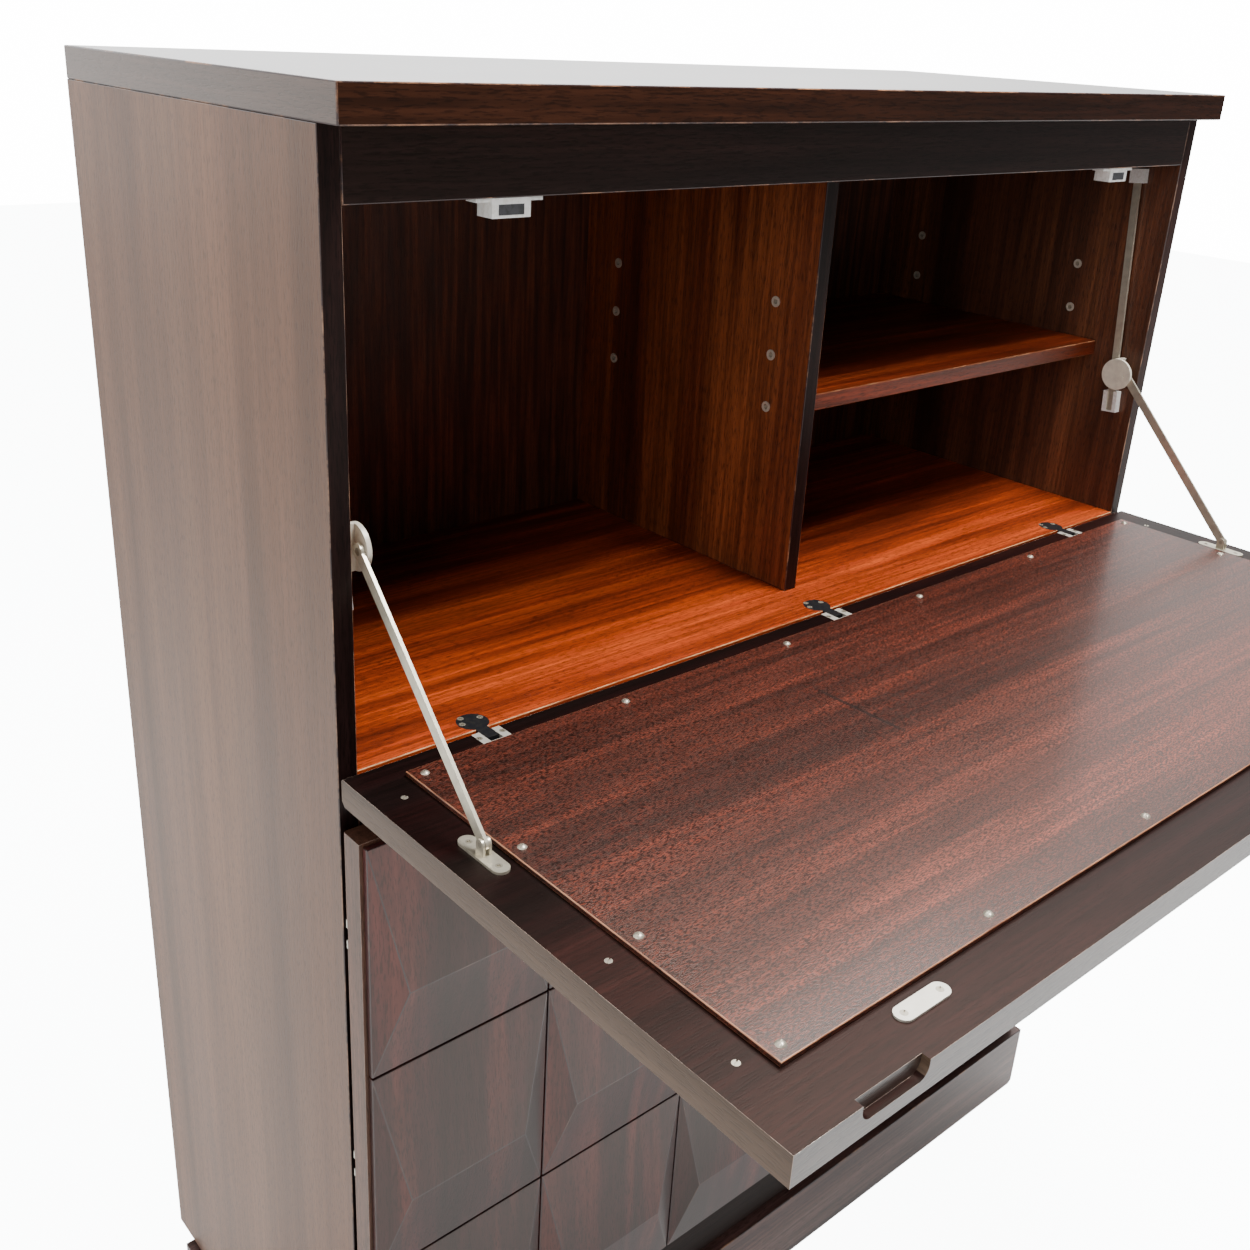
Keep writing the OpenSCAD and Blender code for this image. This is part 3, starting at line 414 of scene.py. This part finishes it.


# Painted sheen: the plinth's greyish tones are lightened to stand in for the sheen the light leaves on it.
plinth_tones_and_sheen = (0.078, 0.038, 0.034), (0.146, 0.076, 0.067), (0.344, 0.203, 0.178)
plinth_wood_and_sheen = mahogany("plinth_veneer_and_painted_sheen", "X", *plinth_tones_and_sheen, shine=0.36, coat=0.2, shift=(0.0, 0.0, 4.8),
                       warmth=0.4)
plinth_end_wood_and_sheen = mahogany("plinth_end_veneer_and_painted_sheen", "Y", *plinth_tones_and_sheen, shine=0.36, coat=0.2,
                           shift=(0.0, 0.0, 5.4), warmth=0.4)
for board in ("base_front", "base_rear"):
    eased(board, "cabinet", plinth_wood_and_sheen, dark_arris, width=0.0012)
for board in ("base_end_left", "base_end_right", "base_brace"):
    eased(board, "cabinet", plinth_end_wood_and_sheen, dark_arris, width=0.0012)
# Painted shade: the battens' near-black stands in for the shadow in the gap under the carcass.
batten_shade_paint = speckled("batten_painted_shade", 0.7, [(0.0, 0.006), (1.0, (0.020, 0.018, 0.017))],
                        speck_count=60.0, detail=2.0)
dressed(["base_spacers"], batten_shade_paint)

# ---------------------------------------------------------------- flap
# The writing flap is a dark board hung on three hinges, with a thin veneered panel screwed on
# its inner face. The edge that faces the front has paler, greyer tones, which are painted sheen.
# Its arrises are worn pale, most of all along the free edge.

flap_wood = mahogany("flap_veneer", "X", (0.005, 0.002, 0.002), (0.010, 0.002, 0.002), (0.019, 0.005, 0.004),
                     shine=0.42, coat=0.0, warmth=1.0, gloss=0.18, shift=(0.0, 6.0, 0.0),
                     relief_depth=0.12, pore_depth=0.4)
flap_arris = rubbed_arris("rubbed_flap_arris", (0.10, 0.055, 0.042), (0.62, 0.46, 0.36), amount=0.85)
# Painted sheen: the front edge's paler, greyer tones stand in for the bright reflection along it.
flap_edge_wood_and_sheen = mahogany("flap_edge_veneer_and_painted_sheen", "X", (0.049, 0.028, 0.023), (0.083, 0.050, 0.042),
                          (0.098, 0.064, 0.057), shine=0.34, coat=0.5, warmth=0.3, shift=(0.0, 7.2, 3.6))
flap_end_wood = mahogany("flap_end_veneer", "Y", (0.032, 0.016, 0.009), (0.052, 0.028, 0.015),
                         (0.124, 0.081, 0.055), shine=0.42, coat=0.05, shift=(1.122, 2.844, 1.265),
                         figure=0.2, fibre_depth=0.2, pore_depth=0.3, warmth=1.0)
flap_shape = eased("flap_board", "flap", flap_wood, flap_arris, width=0.0010)
veneered(flap_shape, flap_edge_wood_and_sheen, frontward)
veneered(flap_shape, flap_end_wood, leftward, rightward)
panel_wood = mahogany("panel_veneer", "X", (0.070, 0.014, 0.008), (0.125, 0.026, 0.014),
                      (0.210, 0.042, 0.022), ribbon=18.0, shine=0.36, coat=0.32, shift=(0.0, 9.0, 0.0),
                      pore_depth=1.0, fibre_depth=0.55, pore_size=0.0007, relief_depth=0.4, warmth=0.7,
                      pore_length=0.2, pore_dark=0.12, pore_share=0.7)
panel_edge = rubbed_arris("panel_edge", (0.20, 0.075, 0.035), (0.45, 0.20, 0.10), amount=0.8)


def old_mark(wood, start, end, width, depth):
    """A thin bruised line left across the panel by a ruler or a lamp foot."""
    tree = wood.node_tree
    colour = tree.nodes["Principled BSDF"].inputs["Base Color"]
    clean = colour.links[0].from_socket
    where = tree.nodes.new("ShaderNodeTexCoord")
    along = (end - start).normalized()
    across = Vector((-along.y, along.x, 0.0))
    placed = tree.nodes.new("ShaderNodeVectorMath")
    placed.operation = "SUBTRACT"
    placed.inputs[1].default_value = (start + end) / 2
    tree.links.new(where.outputs["Object"], placed.inputs[0])
    inside = []
    for axis, reach in ((along, (end - start).length / 2), (across, width)):
        offset = tree.nodes.new("ShaderNodeVectorMath")
        offset.operation = "DOT_PRODUCT"
        offset.inputs[1].default_value = axis
        tree.links.new(placed.outputs["Vector"], offset.inputs[0])
        away = tree.nodes.new("ShaderNodeMath")
        away.operation = "ABSOLUTE"
        tree.links.new(offset.outputs["Value"], away.inputs[0])
        band = added(tree, "ShaderNodeMapRange", from_min=reach * 0.5, from_max=reach, to_min=1.0,
                     to_max=0.0)
        band.interpolation_type = "SMOOTHSTEP"
        tree.links.new(away.outputs["Value"], band.inputs["Value"])
        inside.append(band.outputs["Result"])
    both = tree.nodes.new("ShaderNodeMath")
    both.operation = "MULTIPLY"
    tree.links.new(inside[0], both.inputs[0])
    tree.links.new(inside[1], both.inputs[1])
    stained = tree.nodes.new("ShaderNodeMix")
    stained.data_type = "RGBA"
    stained.inputs["B"].default_value = (0.006, 0.003, 0.003, 1.0)
    tree.links.new(scaled(tree, both.outputs["Value"], depth), stained.inputs["Factor"])
    tree.links.new(clean, stained.inputs["A"])
    tree.links.new(stained.outputs["Result"], colour)


side_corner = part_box("side_left")[0]
mark_start = Vector((side_corner.x + 0.384, side_corner.y - 0.097, 0.0))
mark_run = Vector((0.004, -0.119, 0.0))
old_mark(panel_wood, mark_start, mark_start + mark_run, width=0.0022, depth=0.95)
eased("flap_panel", "flap", panel_wood, panel_edge, width=0.0007)

# ---------------------------------------------------------------- doors and facet blocks
# Two veneered boards, each hung on three hinges. The doors and the flap carry hip-shaped blocks,
# glued on in rows and cut from ribboned veneer that runs up them when they are shut.

door_wood = mahogany("door_veneer", "Z", (0.078, 0.034, 0.022), (0.125, 0.055, 0.035), (0.180, 0.081, 0.053),
                     shine=0.42, coat=0.15, warmth=1.0, shift=(2.0, 0.0, 0.0), relief_depth=0.2)
facet_deep, facet_mid = (0.019, 0.005, 0.006), (0.047, 0.012, 0.014)
facet_finish = {"ribbon": 30.0, "shine": 0.30, "coat": 0.15, "warmth": 0.7, "shift": (4.0, 0.0, 0.0),
                "figure": 0.8, "relief_depth": 0.15, "fibre_depth": 0.3}
facet_wood = mahogany("facet_veneer", "Z", facet_deep, facet_mid, (0.111, 0.026, 0.023), **facet_finish)
facet_turned = mahogany("facet_veneer_turned", "Y", facet_deep, facet_mid, (0.156, 0.046, 0.037),
                        **facet_finish)
facet_arris = rubbed_arris("rubbed_facet_arris", (0.04, 0.020, 0.018), (0.13, 0.065, 0.045), amount=0.4)
for side in ("left", "right"):
    eased(f"door_{side}_board", f"door_{side}", door_wood, flap_arris)
    eased(f"door_{side}_facets", f"door_{side}", facet_wood, facet_arris, width=0.0006,
          shortest=0.004)
eased("flap_facets", "flap", facet_turned, facet_arris, width=0.0006, shortest=0.004)

# ---------------------------------------------------------------- metalwork
# Pressed steel stays, leaves, plates and screws, plated with nickel and finely brushed, and cast
# brakes with knobs on the stays. All of it is screwed on, apart from pins and driven sleeves.


def plated(name, tone, rough, brush_axis, stain_amount=0.15, metal_share=1.0):
    """Satin plating, brushed along one axis and clouded with brown tarnish."""
    stain, brush_draw, brush_count, cloud_count = (0.35, 0.30, 0.25), 0.04, 2400.0, 140.0
    metal, tree, shader, where = coloured(name)
    brushing = noise(tree, drawn_out(tree, where, brush_axis, brush_draw), brush_count)
    dulled = tuple(new * (1 - stain_amount) + old * stain_amount for new, old in zip(tone, stain))
    tarnish = ramp(tree, noise(tree, where, cloud_count, detail=5.0), [(0.30, dulled), (0.62, tone)])
    tree.links.new(tarnish, shader.inputs["Base Color"])
    tree.links.new(spread(tree, brushing, rough - 0.06, rough + 0.10), shader.inputs["Roughness"])
    shader.inputs["Metallic"].default_value = metal_share
    return metal


nickel = plated("satin_nickel", (0.70, 0.66, 0.57), 0.36, "Z", metal_share=0.45)
cast_nickel = plated("cast_nickel", (0.80, 0.73, 0.60), 0.40, "Y", stain_amount=0.3, metal_share=0.15)
stay_nickel = plated("stay_nickel", (0.62, 0.57, 0.45), 0.30, "Z", stain_amount=0.4, metal_share=0.6)
screw_nickel = plated("screw_nickel", (0.42, 0.38, 0.30), 0.34, "X", stain_amount=0.5, metal_share=0.6)
sleeve_nickel = plated("sleeve_nickel", (0.60, 0.52, 0.42), 0.40, "X", metal_share=0.25)
dressed(["flap_strikes", "flap_hinge_leaves", "door_left_leaves", "door_right_leaves",
         "door_left_strike", "door_right_strike"], nickel)
dressed(["stay_rail_left", "stay_rail_right", "stay_feet", "stay_arm_left", "stay_arm_right"], stay_nickel)
dressed(["stay_brake_left", "stay_brake_right", "brake_knob_left", "brake_knob_right"], cast_nickel)
dressed(["panel_screws", "frame_screws", "flap_hinge_pins", "flap_fitting_screws", "stay_foot_pins",
         "hinge_plate_screws", "door_left_pins", "door_right_pins", "door_left_screws",
         "door_right_screws"], screw_nickel)
dressed(["shelf_sleeves", "shelf_pins"], sleeve_nickel)

# ---------------------------------------------------------------- catches, sockets, hinge plates
# Moulded white housings hold the magnets of the catches and the ends of the stays' rails. The
# hinges' round plates are lacquered black and screwed flush into the boards.

white_plastic = speckled("white_plastic", 0.38, [(0.35, (0.74, 0.72, 0.67)), (0.55, (0.86, 0.85, 0.82))])
magnet_grey = speckled("magnet_grey", 0.35, [(0.35, 0.03), (0.55, (0.05, 0.05, 0.055))])
hinge_black = speckled("hinge_black", 0.28, [(0.35, (0.02, 0.019, 0.018)), (0.55, (0.012, 0.012, 0.014))])
dressed(["magnetic_catches", "stay_sockets"], white_plastic)
dressed(["catch_magnets"], magnet_grey)
dressed(["hinge_plates"], hinge_black)
